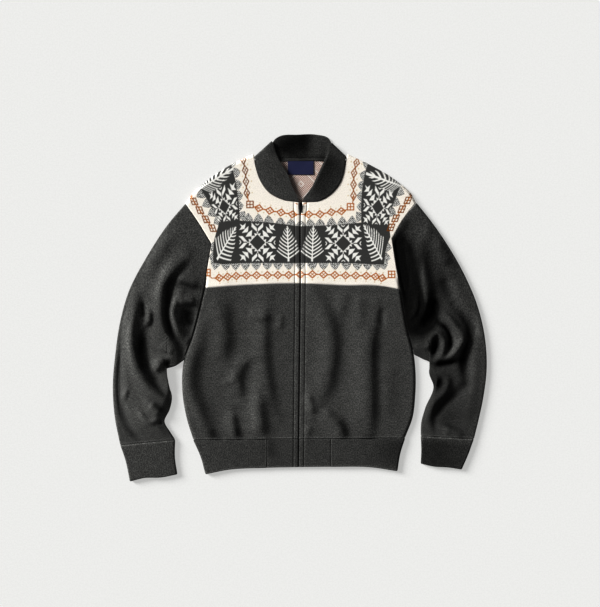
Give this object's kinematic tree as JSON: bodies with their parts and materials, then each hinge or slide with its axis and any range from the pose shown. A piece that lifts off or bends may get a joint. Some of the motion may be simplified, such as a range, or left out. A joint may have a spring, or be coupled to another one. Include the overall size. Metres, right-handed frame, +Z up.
{
  "type": "knit blouson",
  "caption": "Zip-front knit blouson laid flat, with a patterned jacquard yoke, plain jersey body and sleeves, and rib collar, cuffs and hem.",
  "frame": {"origin": "on the surface the blouson lies on, under the middle of its back and of its length, where the rest mount sits", "axes": "+Z up from the surface, +Y towards the collar, +X towards the wearer's left"},
  "size_m": [0.7673, 0.7127, 0.018],
  "materials": {
    "jacquard": "two-colour jacquard knit, matt",
    "jersey": "charcoal marl jersey, matt",
    "rib": "charcoal marl rib, matt",
    "label": "woven navy label, slight sheen",
    "tape": "woven black zip tape",
    "metal": "dark plated zinc, satin"
  },
  "bodies": {
    "garment": {"back_yoke": "jacquard", "back_body": "jersey", "front_yoke_right": "jacquard", "front_yoke_left": "jacquard", "front_body_right": "jersey", "front_body_left": "jersey", "sleeve_right": "jersey", "sleeve_left": "jersey", "cuff_right": "rib", "cuff_left": "rib", "hem_rib": "rib", "hem_tab_right": "jersey", "hem_tab_left": "jersey", "collar": "rib", "neck_label": "label", "zip_tape_right": "tape", "zip_tape_left": "tape", "zip_slider": "metal"},
    "pull_tab": {"pull_tab": "metal"}
  },
  "joints": [
    {"name": "pull_tab_hinge", "type": "hinge", "parent": "garment", "child": "pull_tab", "pos_m": [0.002, 0.2115, 0.0097], "axis": [-1, 0, 0], "range_deg": [0, 150]}
  ]
}
